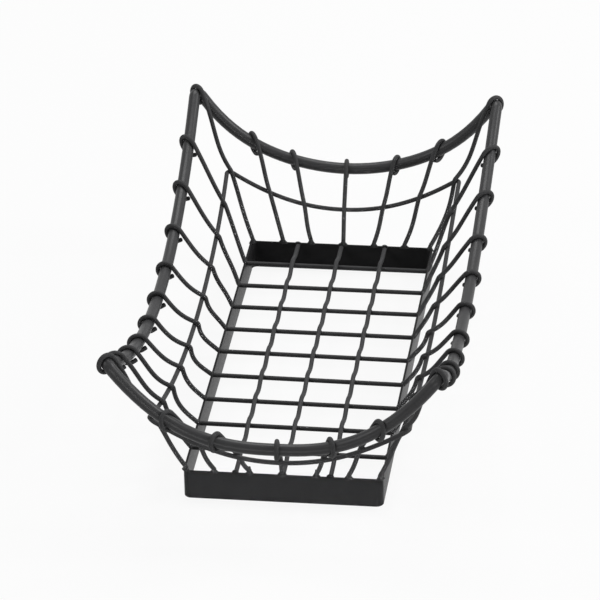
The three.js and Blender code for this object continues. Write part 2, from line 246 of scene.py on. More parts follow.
lamp("key_right", (1.6, 0.3, 1.3), 24, 0.7, 0.7)
lamp("window_right", (1.7, -0.2, 0.35), 12, 0.8, 0.3)
lamp("overhead_behind", (-0.1, 0.75, 1.65), 24, 1.2, 0.8)
lamp("fill_left", (-1.3, -0.8, 1.2), 12, 0.8, 0.8)
lamp("front_far", (0.2, -1.8, 0.02), 9, 1.2, 0.03)
lamp("front_low", (0.05, -0.45, 0.012), 0.04, 0.3, 0.02, spread=14)

# %% [markdown]
# The coat is black powder, melted on to the steel: near black, with a dull gloss, and never
# quite smooth. Close up it has the fine pebbling of orange peel, and a slower unevenness where
# the powder lay thicker. Both come from Noise textures on Object coordinates. The pebbling
# goes to a Bump, the slow one shifts the gloss, and a third, of a few millimetres, lets the
# colour wander a little between charcoal and black. The thin wires reflect less than the rod,
# or their edges would turn white against the background and the wires would look too thin.

# %% Powder coat
DRIFT_CELL, GLOSS_CELL, PEBBLE_CELL = 6.0, 1.8, 0.55  # millimetres from blob to blob
SHADE_WANDER, GLOSS_WANDER = 0.18, 0.16
PEBBLE_DEPTH = 0.06


def powder_coat(name, shade, rough, shine, pebble):
    paint = bpy.data.materials.new(name)
    paint.use_nodes = True
    paint.node_tree.nodes.clear()
    tree = Tree(paint.node_tree)
    place = tree.add("ShaderNodeTexCoord", output="Object")

    def noise(cell_mm, detail):
        return tree.add("ShaderNodeTexNoise", {"noise_dimensions": "3D"}, {
            "Vector": place, "Scale": 1 / (cell_mm * MM), "Detail": detail, "Roughness": 0.55})

    def shaded(share):
        return tuple(c * share for c in shade) + (1,)

    drift = noise(DRIFT_CELL, 2.0)
    colour = tree.add("ShaderNodeMix", {"data_type": "RGBA"}, {  # 6 and 7 take the colours
        "Factor": drift, 6: shaded(1 - SHADE_WANDER), 7: shaded(1 + SHADE_WANDER)}, output=2)
    roughness = rough + (noise(GLOSS_CELL, 3.0) - 0.5) * GLOSS_WANDER
    bump = tree.add("ShaderNodeBump", None, {
        "Strength": pebble, "Distance": PEBBLE_DEPTH * MM, "Height": noise(PEBBLE_CELL, 2.0)})
    surface = tree.add("ShaderNodeBsdfPrincipled", None, {
        "Base Color": colour, "Roughness": roughness, "Normal": bump,
        "Metallic": 0.0, "Specular IOR Level": shine})
    tree.add("ShaderNodeOutputMaterial", None, {"Surface": surface})
    return paint


rod_coat = powder_coat(
    "coat_on_rod", (0.028, 0.028, 0.029), rough=0.36, shine=0.17, pebble=0.5)
wire_coat = powder_coat(
    "coat_on_wire", (0.038, 0.038, 0.039), rough=0.52, shine=0.07, pebble=0.15)
band_coat = powder_coat(
    "coat_on_band", (0.018, 0.018, 0.0185), rough=0.30, shine=0.02, pebble=0.6)
weld_coat = powder_coat(
    "coat_on_welds", (0.024, 0.024, 0.0245), rough=0.50, shine=0.06, pebble=0.8)
print("materials", [m.name for m in (rod_coat, wire_coat, band_coat, weld_coat)])

# %% [markdown]
# A bent bar is a path with a round section carried along it. The path is worked out in Python
# and stored as a line of vertices, each with its own radius, and a Geometry Nodes tree does the
# rest: line to curve, radius from the attribute, circle along the curve. The result is baked to
# a plain mesh, because the finished piece may not depend on a modifier.

# %% A tree that sweeps a round bar
def geometry_tree(name, numbers):
    group = bpy.data.node_groups.new(name, "GeometryNodeTree")
    face = group.interface
    face.new_socket("Geometry", in_out="INPUT", socket_type="NodeSocketGeometry")
    face.new_socket("Geometry", in_out="OUTPUT", socket_type="NodeSocketGeometry")
    for label, kind in numbers.items():
        face.new_socket(label, in_out="INPUT", socket_type=f"NodeSocket{kind}")
    tree = Tree(group)
    entry = group.nodes.new("NodeGroupInput")
    given = {socket.name: Signal(tree, socket) for socket in entry.outputs if socket.name}
    return tree, given


def close_tree(tree, geometry, material):
    real = tree.add("GeometryNodeRealizeInstances", None, {"Geometry": geometry})
    painted = tree.add("GeometryNodeSetMaterial", None, {"Geometry": real, "Material": material})
    tree.add("NodeGroupOutput", None, {"Geometry": painted})
    return tree.tree


def bar_tree():
    tree, given = geometry_tree("round_bar", {"Sides": "Int", "Material": "Material"})
    line = tree.add("GeometryNodeMeshToCurve", None, {"Mesh": given["Geometry"]})
    radius = tree.add("GeometryNodeInputNamedAttribute", {"data_type": "FLOAT"}, {
        "Name": "bar_radius"})
    circle = tree.add("GeometryNodeCurvePrimitiveCircle", {"mode": "RADIUS"}, {
        "Resolution": given["Sides"], "Radius": 1.0})
    bar = tree.add("GeometryNodeCurveToMesh", None, {
        "Curve": line, "Profile Curve": circle, "Scale": radius, "Fill Caps": True})
    smooth = tree.add("GeometryNodeSetShadeSmooth", None, {"Geometry": bar})
    return close_tree(tree, smooth, given["Material"])


round_bar = bar_tree()
print("tree", round_bar.name, len(round_bar.nodes), "nodes")

# %% [markdown]
# Baking takes four steps: put the tree on an object as a modifier, set its inputs by their
# identifiers, read the evaluated mesh, and take the modifier off again.

# %% Bake a tree to a mesh
def bake(name, mesh, group, values):
    piece = bpy.data.objects.new(name, mesh)
    bpy.context.scene.collection.objects.link(piece)
    modifier = piece.modifiers.new("maker", "NODES")
    modifier.node_group = group
    for item in group.interface.items_tree:
        if item.item_type == "SOCKET" and item.in_out == "INPUT" and item.name in values:
            modifier[item.identifier] = values[item.name]
    graph = bpy.context.evaluated_depsgraph_get()
    baked = bpy.data.meshes.new_from_object(piece.evaluated_get(graph))
    baked.name = name
    piece.modifiers.clear()
    piece.data = baked
    return piece


def path_mesh(name, points, radii, closed):
    mesh = bpy.data.meshes.new(name + "_path")
    count = len(points)
    edges = [(i, (i + 1) % count) for i in range(count if closed else count - 1)]
    mesh.from_pydata([p * MM for p in points], edges, [])
    attribute = mesh.attributes.new("bar_radius", "FLOAT", "POINT")
    attribute.data.foreach_set("value", [r * MM for r in radii])
    return mesh


ROD_SIDES, WIRE_SIDES = 32, 16  # faces round a section
made = []  # every finished piece


def finish_piece(piece, slot, *nodes):
    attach(piece, "root")
    if nodes:
        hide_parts(*nodes)
    made.append(piece)
    return piece


def bent_bar(name, points, radii, slot, coat, sides, closed=False):
    mesh = path_mesh(name, points, radii, closed)
    piece = bake(name + "_bar", mesh, round_bar, {"Sides": sides, "Material": coat})
    return finish_piece(piece, slot, name)


def bent_wire(name, points, radii, closed=False):
    return bent_bar(name, points, radii, "wire", wire_coat, WIRE_SIDES, closed)


print("sections of", ROD_SIDES, "and", WIRE_SIDES, "sides")

# %% [markdown]
# The rim and the middle ring follow one rule: a rectangle seen from above, whose sides dip
# between raised corners. Along each side u runs from -1 to 1, and the height falls away from
# the corners by a power of u, or by a mix of two powers. The wires pull the long sides a little
# inward, so those are hollow by a few millimetres, and not by the same amount. The corners are
# spread a little outward, each by its own amount. A real rod can't turn on a point, so each
# corner is a short bend, made here as a cubic that is very close to a round arc.
#
# A wall is named by the signs of x and y: (1, 0) is the right one, (0, -1) the front one, and
# (1, -1) the corner between them.

# %% The saddle rule
def cubic(a, b, c, d, t):
    s = 1 - t
    return a * s**3 + b * (3 * s * s * t) + c * (3 * s * t * t) + d * t**3


def mix(a, b, share):
    return a + (b - a) * share


Dip = namedtuple("Dip", "depth power second_power share", defaults=(1, 0))


class Saddle:
    """A rectangular hoop, its sides dipping between raised corners."""

    def __init__(self, width, length, height, bend, dips, hollows, spreads):
        self.half = (width / 2, length / 2)
        self.height = height
        self.bend = bend
        self.dips = dips  # by the wall's sign of y, so 0 is for both long sides
        self.hollows = hollows  # by the sign of x
        self.spreads = spreads  # by corner

    def on(self, sx, sy, u):
        dip = self.dips[sy]
        risen = mix(abs(u) ** dip.power, abs(u) ** dip.second_power, dip.share)
        z = self.height - dip.depth * (1 - risen)
        x, y = self.half
        near = 1 if u > 0 else -1
        x += self.spreads[sx or near, sy or near] * u**4
        if sx:
            return Vector((sx * (x - self.hollows[sx] * (1 - u * u)), u * y, z))
        return Vector((u * x, sy * y, z))

    def way(self, sx, sy, u):
        step = 1e-3
        return (self.on(sx, sy, u + step) - self.on(sx, sy, u - step)).normalized()

    def corner(self, sx, sy):
        near = 0.95
        side = self.way(sx, 0, sy * near) * sy
        end = self.way(0, sy, sx * near) * -sx
        turn = side.angle(end)
        cut = self.bend * math.tan(turn / 2)
        u_side = sy * (1 - cut * side.y * sy / self.half[1])
        u_end = sx * (1 - cut * end.x * -sx / self.half[0])
        start = self.on(sx, 0, u_side)
        finish = self.on(0, sy, u_end)
        handle = 4 / 3 * math.tan(turn / 4) * self.bend
        leave = start + self.way(sx, 0, u_side) * sy * handle
        arrive = finish + self.way(0, sy, u_end) * sx * handle
        return (start, leave, arrive, finish), u_side, u_end

    def seat(self, sx, sy, u=0.0):
        """A place on the hoop and the hoop's direction there; a corner if sx and sy are set."""
        if sx and sy:
            bend = self.corner(sx, sy)[0]
            step = cubic(*bend, 0.501) - cubic(*bend, 0.499)
            return cubic(*bend, 0.5), step.normalized()
        return self.on(sx, sy, u), self.way(sx, sy, u)

    def outline(self, side_steps, end_steps, bend_steps):
        points = []

        def run(sx, sy, a, b, steps):
            points.extend(self.on(sx, sy, a + (b - a) * i / steps) for i in range(1, steps))

        def turn(sx, sy, back):
            bend = self.corner(sx, sy)[0]
            arc = [cubic(*bend, i / bend_steps) for i in range(bend_steps + 1)]
            points.extend(arc[::-1] if back else arc)

        u = {(sx, sy): self.corner(sx, sy)[1:] for sx in (-1, 1) for sy in (-1, 1)}
        run(1, 0, u[1, -1][0], u[1, 1][0], side_steps)
        turn(1, 1, False)
        run(0, 1, u[1, 1][1], u[-1, 1][1], end_steps)
        turn(-1, 1, True)
        run(-1, 0, u[-1, 1][0], u[-1, -1][0], side_steps)
        turn(-1, -1, False)
        run(0, -1, u[-1, -1][1], u[1, -1][1], end_steps)
        turn(1, -1, True)
        return points


ring = Saddle(
    width=132.4, length=289.0, height=55.0, bend=3.0,
    dips={0: Dip(23.0, 1.95), 1: Dip(23.0, 2.1), -1: Dip(23.0, 2.1)},
    hollows={-1: 0.6, 1: 0.6},
    spreads={(-1, -1): 1.6, (1, -1): 2.4, (-1, 1): 1.2, (1, 1): 0.9})
rim = Saddle(
    width=174.0, length=323.5, height=98.6, bend=4.2,
    dips={0: Dip(51.6, 2.05), 1: Dip(48.7, 2, 5.3, 0.31), -1: Dip(48.7, 2.62)},
    hollows={-1: 1.15, 1: 3.3},
    spreads={(-1, -1): 0, (1, -1): 0.5, (-1, 1): 0, (1, 1): 0.4})
print("rim rises from", rim.on(1, 0, 0).z, "to", rim.height, "mm")

# %% Rim rod and middle ring
rim_points = rim.outline(side_steps=56, end_steps=40, bend_steps=16)
ring_points = ring.outline(side_steps=48, end_steps=32, bend_steps=12)
bent_bar("rim_rod", rim_points, [ROD] * len(rim_points), "rim", rod_coat, ROD_SIDES, closed=True)
bent_wire("middle_ring", ring_points, [WIRE] * len(ring_points), closed=True)
print("rim", len(rim_points), "points, ring", len(ring_points), "points")

# %% [markdown]
# Every wall wire is bent in one upright plane. From the tip of its hook it passes under the
# rod, round its outer side and over the top, runs down and inward, is crimped over the inner
# side of the middle ring, and drops to the strap. Between those bends it may go straight or bow:
# two shares, for above and below the ring, mix the straight slopes with the bent ones. The
# photograph shows deep bows along the sides and nearly straight wires at the ends. A bowed wire
# also leans along its wall as it nears the strap. The hook is a hair wider than the rod and
# hangs from it, so the slack shows below the rod, and on top the two coats have melted together.

# %% The bends of a wall wire
HOOK_SLACK, HOOK_MELT = 0.05, 0.05
HOOK_RADIUS = ROD + WIRE + HOOK_SLACK
HOOK_EXIT = 60  # slope in degrees where a fully bowed wire leaves its hook
HOOK_PAST_BOTTOM = 36  # degrees that the hook wraps on beyond the rod's lowest line
TAIL = 2.0  # straight end after the hook
SHOULDER_SHARE = 0.54  # slope above the ring of a fully bowed wire, as a share of the straight one
CRIMP_DROP = 89.7  # slope below the ring of a fully bowed wire
ARRIVAL_EASE = 0.9  # how far the slope at the strap eases from the wall's own towards 45 degrees
FOOT_SPLAY = 4.6  # how much more a fully bowed wire leans along its wall at the foot
HOOK_HANDLE, SHOULDER_HANDLE, CRIMP_HANDLE, FOOT_HANDLE = 0.48, 0.36, 0.40, 0.45
HOOK_STEPS, RUN_STEPS, CRIMP_STEPS = 44, 16, 8
crossings = []  # place, direction from one wire to the other


def around(seat, heading, degrees, distance):
    """A place round a bar in the heading's upright plane; 90 degrees is above the bar."""
    centre, along = seat
    angle = math.radians(degrees)
    spoke = heading * math.cos(angle) + UP * math.sin(angle)
    return centre + spoke * (distance / math.sqrt(1 - spoke.dot(along) ** 2))


def descent(heading, slope):
    angle = math.radians(slope)
    return heading * -math.cos(angle) - UP * math.sin(angle)


def slope_between(low, high):
    run = high - low
    return math.degrees(math.atan2(run.z, math.hypot(run.x, run.y)))


def eased_run(start, way, reach, finish, arrival, arrival_reach, steps):
    """Points after the start of a smooth run with a given direction at each end."""
    ends = (start, start + way * reach, finish - arrival * arrival_reach, finish)
    return [cubic(*ends, i / steps) for i in range(1, steps + 1)]


def heading_to(foot, rim_seat):
    return ((rim_seat[0] - foot) * Vector((1, 1, 0))).normalized()


def arrival(foot, ring_seat, rim_seat, outward, bow):
    """The wire's direction, down and inward, where it reaches the strap."""
    heading = heading_to(foot, rim_seat)
    straight = outward * heading.dot(outward)
    splayed = (straight + (heading - straight) * mix(1, FOOT_SPLAY, bow[1])).normalized()
    return descent(splayed, mix(slope_between(foot, ring_seat[0]), 45, ARRIVAL_EASE * bow[1]))


def wall_wire(foot, ring_seat, rim_seat, arriving, bow, hook=HOOK_RADIUS):
    """Points from the tip of the hook down to the foot."""
    heading = heading_to(foot, rim_seat)
    upper_slope = slope_between(ring_seat[0], rim_seat[0])
    lower_slope = slope_between(foot, ring_seat[0])
    leaving = mix(upper_slope, HOOK_EXIT, bow[0])
    shoulder = mix(upper_slope, upper_slope * SHOULDER_SHARE, bow[0])
    drop = mix(lower_slope, CRIMP_DROP, bow[1])

    hung = (rim_seat[0] - UP * (hook - ROD - WIRE + HOOK_MELT), rim_seat[1])
    first, last = -90 - HOOK_PAST_BOTTOM, 90 + leaving
    curl = [around(hung, heading, mix(first, last, i / HOOK_STEPS), hook)
            for i in range(HOOK_STEPS + 1)]
    tip = curl[0] + (curl[0] - curl[1]).normalized() * TAIL
    crimp = [around(ring_seat, heading, 90 + mix(shoulder, drop, i / CRIMP_STEPS), WELDED)
             for i in range(CRIMP_STEPS + 1)]
    middle = crimp[CRIMP_STEPS // 2]
    crossings.append(((middle + ring_seat[0]) / 2, (middle - ring_seat[0]).normalized()))
    span = (curl[-1] - crimp[0]).length
    upper = eased_run(curl[-1], descent(heading, leaving), span * HOOK_HANDLE,
                      crimp[0], descent(heading, shoulder), span * SHOULDER_HANDLE, RUN_STEPS)
    fall = (crimp[-1] - foot).length
    lower = eased_run(crimp[-1], descent(heading, drop), fall * CRIMP_HANDLE,
                      foot, arriving, fall * FOOT_HANDLE, RUN_STEPS)
    return [tip, *curl, *upper[:-1], *crimp, *lower]


print("hook radius", HOOK_RADIUS, "mm, slope below the ring up to", CRIMP_DROP, "degrees")

# %% [markdown]
# Cut wire has a flat end, but the coat rounds its edge. So at each free end the radius closes
# over six points within half a millimetre. Each stands a little beyond the one before, because
# two points in one place would leave the sweep without a direction.

# %% Rounded ends
END_LENGTH = 0.45
END_SHAPE = (  # share of the length, share of the radius
    (0.0, 1.0), (0.38, 0.92), (0.71, 0.80), (0.92, 0.67), (1.0, 0.50), (1.0, 0.02))
END_STAGGER = 0.004


def with_rounded_start(points):
    """The path with its first point replaced by a rounded end, and the radii."""
    way = (points[0] - points[1]).normalized()
    back = points[0] - way * END_LENGTH
    end = [back + way * END_LENGTH * along + way * END_STAGGER * i
           for i, (along, _) in enumerate(END_SHAPE)]
    end_radii = [WIRE * share for _, share in END_SHAPE]
    return end[::-1] + points[1:], end_radii[::-1] + [WIRE] * (len(points) - 1)


print("ends closed over", END_LENGTH, "mm by", len(END_SHAPE), "points")

# %% [markdown]
# Nine wires cross the floor. Each is one length of wire: hook, wall, a tight bend over the
# strap, the floor, and the same again on the other side. The places on the strap, ring and rim
# are even shares of their lengths, so the wires fan out towards the corners. A jig and a hand
# press place them, and none ends up quite like the next. So each has a row of its own here: how
# far its foot, its ring crossing and its hook stand from the even place, in millimetres along
# the wall towards the back, and how deeply it bows.

# %% How the crosswise wires stray
Stray = namedtuple("Stray", "foot ring rim bow")
LEFT_WIRES = {
    4: Stray(0.2, -0.4, -2.7, 0.15),
    3: Stray(-0.4, 0.1, -0.5, 0.40),
    2: Stray(0.2, -0.2, -1.0, 0.58),
    1: Stray(0.4, -1.4, -2.0, 0.75),
    0: Stray(0.9, -1.4, -1.2, 0.85),
    -1: Stray(0.3, -1.5, 0.2, 0.90),
    -2: Stray(0.1, -1.1, 0.0, 0.74),
    -3: Stray(0.0, -2.2, 2.3, 0.84),
    -4: Stray(0.4, 0.1, 0.4, 0.50),
}
RIGHT_WIRES = {
    4: Stray(-0.4, 0.8, -1.8, 0.15),
    3: Stray(-0.5, 0.1, 1.3, 0.27),
    2: Stray(0.0, 0.1, 1.0, 0.30),
    1: Stray(-0.3, 0.3, 2.3, 0.30),
    0: Stray(-0.5, -0.2, 2.0, 0.65),
    -1: Stray(-1.2, -0.4, -1.0, 0.58),
    -2: Stray(-1.1, -0.4, -0.4, 0.65),
    -3: Stray(-1.0, 0.2, -0.2, 0.40),
    -4: Stray(-0.8, -0.1, 0.3, 0.60),
}
print("deepest bow", max(wire.bow for wire in LEFT_WIRES.values()))

# %% Wires across the floor
FOOT_BEND = 2.0  # radius of the bend over the strap
BEND_STEPS, FLOOR_STEPS = 8, 12
floor_ends = {}  # where each crosswise wire crosses the strap


def crosswise_half(sx, k):
    stray = (RIGHT_WIRES if sx > 0 else LEFT_WIRES)[k]
    bow = (stray.bow, stray.bow)
    u = 2 * k / CELLS_ALONG
    outward = Vector((sx, 0, 0))
    rough = Vector((sx * STRAP_X, u * BAND_LENGTH / 2 + stray.foot, FLOOR_HEIGHT))
    ring_seat = ring.seat(sx, 0, u + stray.ring / ring.half[1])
    rim_seat = rim.seat(sx, 0, u + stray.rim / rim.half[1])
    arriving = arrival(rough, ring_seat, rim_seat, outward, bow)
    turn = outward.angle(-arriving)
    aside = (outward * arriving.dot(outward) - arriving).normalized()
    level = rough - outward * FOOT_BEND * math.tan(turn / 2)
    bend = [level + outward * FOOT_BEND * math.sin(turn * i / BEND_STEPS)
            + aside * FOOT_BEND * (1 - math.cos(turn * i / BEND_STEPS))
            for i in range(BEND_STEPS + 1)]
    floor_ends[sx, k] = rough
    return wall_wire(bend[-1], ring_seat, rim_seat, arriving, bow) + bend[-2::-1]


def crosswise_wire(number):
    k = CELLS_ALONG // 2 - number
    left, left_radii = with_rounded_start(crosswise_half(-1, k))
    right, right_radii = with_rounded_start(crosswise_half(1, k))
    floor_run = [left[-1].lerp(right[-1], i / FLOOR_STEPS) for i in range(1, FLOOR_STEPS)]
    points = left + floor_run + right[::-1]
    radii = left_radii + [WIRE] * len(floor_run) + right_radii[::-1]
    name = f"crosswise_wire_{number}"
    return bent_wire(name, points, radii)


crosswise = [crosswise_wire(number) for number in range(1, CELLS_ALONG)]
print(len(crosswise), "crosswise wires of", len(crosswise[0].data.polygons), "faces")

# %% [markdown]
# Three wires run along the floor. The welding press leaves them rippled: they rise over each
# crosswise wire and sink between. The ripple follows a plain rule, so this piece is made wholly
# in nodes: a straight line is resampled, its height is set by a cosine of its place along the
# basket, and the same circle is swept along it.

# %% A tree for the rippled floor wire
RIPPLE_POINTS = 241
END_SINK = 0.2  # how far each end has melted into the strap


def ripple_tree():
    tree, given = geometry_tree("rippled_wire", {
        "Place": "Float", "Reach": "Float", "Pitch": "Float", "Ripple": "Float",
        "Level": "Float", "Radius": "Float", "Sides": "Int", "Material": "Material"})
    start = tree.add("ShaderNodeCombineXYZ", None, {
        "X": given["Place"], "Y": 0 - given["Reach"], "Z": given["Level"]})
    end = tree.add("ShaderNodeCombineXYZ", None, {
        "X": given["Place"], "Y": given["Reach"], "Z": given["Level"]})
    line = tree.add("GeometryNodeCurvePrimitiveLine", {"mode": "POINTS"}, {
        "Start": start, "End": end})
    fine = tree.add("GeometryNodeResampleCurve", {"mode": "COUNT"}, {
        "Curve": line, "Count": RIPPLE_POINTS})
    along = tree.add("ShaderNodeSeparateXYZ", None, {
        "Vector": tree.add("GeometryNodeInputPosition")}, output="Y")
    turn = along * (2 * math.pi) / given["Pitch"]
    wave = (tree.maths("COSINE", turn) + 1) * 0.5
    inside = abs(along) < (given["Pitch"] * (CELLS_ALONG / 2 - 0.5))
    lift = tree.add("ShaderNodeCombineXYZ", None, {"Z": wave * inside * given["Ripple"]})
    rippled = tree.add("GeometryNodeSetPosition", None, {"Geometry": fine, "Offset": lift})
    circle = tree.add("GeometryNodeCurvePrimitiveCircle", {"mode": "RADIUS"}, {
        "Resolution": given["Sides"], "Radius": 1.0})
    bar = tree.add("GeometryNodeCurveToMesh", None, {
        "Curve": rippled, "Profile Curve": circle, "Scale": given["Radius"], "Fill Caps": True})
    smooth = tree.add("GeometryNodeSetShadeSmooth", None, {"Geometry": bar})
    return close_tree(tree, smooth, given["Material"])


rippled_wire = ripple_tree()
INNER_Y = STRAP_Y - BAND_THICKNESS / 2

for number in range(1, CELLS_ACROSS):
    i = number - CELLS_ACROSS // 2
    name = f"lengthwise_wire_{number}"
    piece = bake(name + "_bar", bpy.data.meshes.new(name), rippled_wire, {
        "Place": i * FLOOR_PITCH * MM, "Reach": (INNER_Y + END_SINK) * MM,
        "Pitch": BAND_LENGTH / CELLS_ALONG * MM, "Ripple": WELDED * MM,
        "Level": FLOOR_HEIGHT * MM, "Radius": WIRE * MM, "Sides": WIRE_SIDES,
        "Material": wire_coat})
    finish_piece(piece, "wire", name)
print(CELLS_ACROSS - 1, "floor wires", FLOOR_PITCH, "mm apart")

# %% [markdown]
# Five wires stand on each end of the strap, and one on each corner. They are bent as the long
# walls' wires are, but they begin on the strap's upper edge, where the weld spreads them. The
# end wires bow very little. Of the corner wires each has its own bows.

# %% How the end wires stray
END_WIRES = {
    "back": (
        Stray(2.0, 0.3, 1.2, 0.00),
        Stray(0.4, -1.6, -2.0, 0.11),
        Stray(1.1, 0.3, -0.2, 0.13),
        Stray(0.8, 1.6, -0.5, 0.16),
        Stray(0.5, 0.8, -1.3, 0.19),
    ),
    "front": (
        Stray(-0.3, 0.3, 0.4, 0.16),
        Stray(0.5, -0.8, -1.0, 0.15),
        Stray(-0.3, 1.0, 1.8, 0.11),
        Stray(-0.1, 2.2, 0.9, 0.10),
        Stray(-1.0, 0.0, -0.3, 0.06),
    ),
}
Corner = namedtuple("Corner", "bow_above bow_below slack")
CORNER_WIRES = {  # the slack is how much wider the hook is than those along the sides
    "back_left": Corner(0.8, 0.1, 0.35),
    "back_right": Corner(0.8, 0.65, 0.2),
    "front_left": Corner(0.5, 0.1, 0.05),
    "front_right": Corner(0.7, 0.0, 0.2),
}
print("end wires", len(END_WIRES["back"]), "and", len(END_WIRES["front"]))

# %% Wires of the end walls and corners
KNEE_RISE = 1.6  # a wire stands upright for this far before it leans
FOOT_SINK = 0.8
OUTER_SHARE = 0.95  # the outer two hooks of an end stand a little nearer its middle


def standing_wire(name, foot, ring_seat, rim_seat, outward, bow, hook=HOOK_RADIUS):
    knee = foot + UP * KNEE_RISE
    arriving = arrival(knee, ring_seat, rim_seat, outward, bow)
    wire = wall_wire(knee, ring_seat, rim_seat, arriving, bow, hook)
    points, radii = with_rounded_start(wire)
    points.append(foot - UP * FOOT_SINK)
    radii.append(WIRE)
    return bent_wire(name, points, radii)


feet = []
for end, sy in (("back", 1), ("front", -1)):
    for number, stray in enumerate(END_WIRES[end], 1):
        j = number - CELLS_ENDS // 2
        u = 2 * j / CELLS_ENDS
        u_rim = u * OUTER_SHARE if abs(j) > 1 else u
        foot = Vector((j * FOOT_PITCH + stray.foot, sy * STRAP_Y, BAND_HEIGHT))
        feet.append((foot, Vector((1, 0, 0))))
        standing_wire(f"{end}_wall_wire_{number}", foot,
                      ring.seat(0, sy, u + stray.ring / ring.half[0]),
                      rim.seat(0, sy, u_rim + stray.rim / rim.half[0]),
                      Vector((0, sy, 0)), (stray.bow, stray.bow))
    for side, sx in (("left", -1), ("right", 1)):
        inset = (BAND_CORNER - BAND_THICKNESS / 2) * (1 - math.sqrt(0.5))
        foot = Vector((sx * (STRAP_X - inset), sy * (STRAP_Y - inset), BAND_HEIGHT))
        feet.append((foot, Vector((sx, -sy, 0)).normalized()))
        corner = rim.seat(sx, sy)
        shape = CORNER_WIRES[f"{end}_{side}"]
        standing_wire(f"corner_wire_{end}_{side}", foot, ring.seat(sx, sy), corner,
                      heading_to(foot, corner), (shape.bow_above, shape.bow_below),
                      HOOK_RADIUS + shape.slack)
print(len(feet), "wires stand on the strap")

# %% [markdown]
# The base is a strap of flat steel, bent on edge round four small corners. Its edges are
# rolled, not sharp. A tree sweeps a rounded rectangle along a rounded rectangle, which is all
# that such a strap is.

# %% Base strap
BAND_EDGE = 0.35  # radius of the strap's rolled edges
CORNER_POINTS, EDGE_POINTS = 14, 5


def strap_tree():
    tree, given = geometry_tree("strap_hoop", {
        "Width": "Float", "Length": "Float", "Corner": "Float", "Thickness": "Float",
        "Height": "Float", "Edge": "Float", "Material": "Material"})

    def rounded(width, height, radius, count):
        flat = tree.add("GeometryNodeCurvePrimitiveQuadrilateral", {"mode": "RECTANGLE"}, {
            "Width": width, "Height": height})
        return tree.add("GeometryNodeFilletCurve", {"mode": "POLY"}, {
            "Curve": flat, "Radius": radius, "Count": count})

    spine = rounded(given["Width"] - given["Thickness"], given["Length"] - given["Thickness"],
                    given["Corner"] - given["Thickness"] * 0.5, CORNER_POINTS)
    section = rounded(given["Thickness"], given["Height"], given["Edge"], EDGE_POINTS)
    strap = tree.add("GeometryNodeCurveToMesh", None, {
        "Curve": spine, "Profile Curve": section})
    lift = tree.add("ShaderNodeCombineXYZ", None, {"Z": given["Height"] * 0.5})
    stood = tree.add("GeometryNodeTransform", None, {"Geometry": strap, "Translation": lift})
    smooth = tree.add("GeometryNodeSetShadeSmooth", None, {"Geometry": stood})
    return close_tree(tree, smooth, given["Material"])


strap = bake("base_band_strap", bpy.data.meshes.new("strap"), strap_tree(), {
    "Width": BAND_WIDTH * MM, "Length": BAND_LENGTH * MM, "Corner": BAND_CORNER * MM,
    "Thickness": BAND_THICKNESS * MM, "Height": BAND_HEIGHT * MM, "Edge": BAND_EDGE * MM,
    "Material": band_coat})
finish_piece(strap, "band", "base_band")
print("strap", [round(v / MM, 1) for v in strap.dimensions], "mm")

# %% [markdown]
# Where two wires cross, the welding press has pushed them a little into each other and squeezed
# out a thin web of metal, which the coat rounds off. From the camera it is the web, dark in all
# four corners of a crossing, that says "welded" and not "laid across". One tree makes every web:
# points come in with a direction and a size, a flattened ball is set on each, and noise makes
# them uneven.

# %% A tree for weld webs
WELD_GRAIN = 1.1  # millimetres from lump to lump
WEB_SEGMENTS, WEB_RINGS = 12, 7


def product(tree, a, b):
    return tree.add("ShaderNodeVectorMath", {"operation": "MULTIPLY"}, {0: a, 1: b})


def stored(tree, name):
    return tree.add("GeometryNodeInputNamedAttribute", {"data_type": "FLOAT_VECTOR"}, {
        "Name": name})


def uneven(tree, geometry, depth):
    """Push a surface in and out along its normals by a fine noise."""
    noise = tree.add("ShaderNodeTexNoise", {"noise_dimensions": "3D"}, {
        "Scale": 1 / (WELD_GRAIN * MM), "Detail": 1.0})
    normal = tree.add("GeometryNodeInputNormal")
    push = tree.add("ShaderNodeVectorMath", {"operation": "SCALE"}, {
        "Vector": normal, "Scale": (noise - 0.5) * depth})
    return tree.add("GeometryNodeSetPosition", None, {"Geometry": geometry, "Offset": push})


def web_tree():
    tree, given = geometry_tree("weld_webs", {
        "Seed": "Int", "Unevenness": "Float", "Material": "Material"})
    turn = tree.add("FunctionNodeAlignRotationToVector", {"axis": "Z"}, {
        "Vector": stored(tree, "weld_way")})
    chance = tree.add("FunctionNodeRandomValue", {"data_type": "FLOAT_VECTOR"}, {
        "Min": (0.86, 0.86, 0.9), "Max": (1.14, 1.14, 1.1), "Seed": given["Seed"]})
    size = product(tree, stored(tree, "weld_size"), chance)
    ball = tree.add("GeometryNodeMeshUVSphere", None, {
        "Segments": WEB_SEGMENTS, "Rings": WEB_RINGS, "Radius": 1.0})
    webs = tree.add("GeometryNodeInstanceOnPoints", None, {
        "Points": given["Geometry"], "Instance": ball, "Rotation": turn, "Scale": size})
    real = tree.add("GeometryNodeRealizeInstances", None, {"Geometry": webs})
    rough = uneven(tree, real, given["Unevenness"])
    smooth = tree.add("GeometryNodeSetShadeSmooth", None, {"Geometry": rough})
    return close_tree(tree, smooth, given["Material"])


def weld_points(name, welds):
    """A mesh of loose points, each with the direction and the size of its weld."""
    mesh = bpy.data.meshes.new(name + "_points")
    mesh.from_pydata([place * MM for place, _, _ in welds], [], [])
    for label, values in (("weld_way", [way for _, way, _ in welds]),
                          ("weld_size", [size * MM for _, _, size in welds])):
        attribute = mesh.attributes.new(label, "FLOAT_VECTOR", "POINT")
        attribute.data.foreach_set("vector", [c for vector in values for c in vector])
    return mesh


weld_web = web_tree()
print("tree", weld_web.name, len(weld_web.nodes), "nodes")

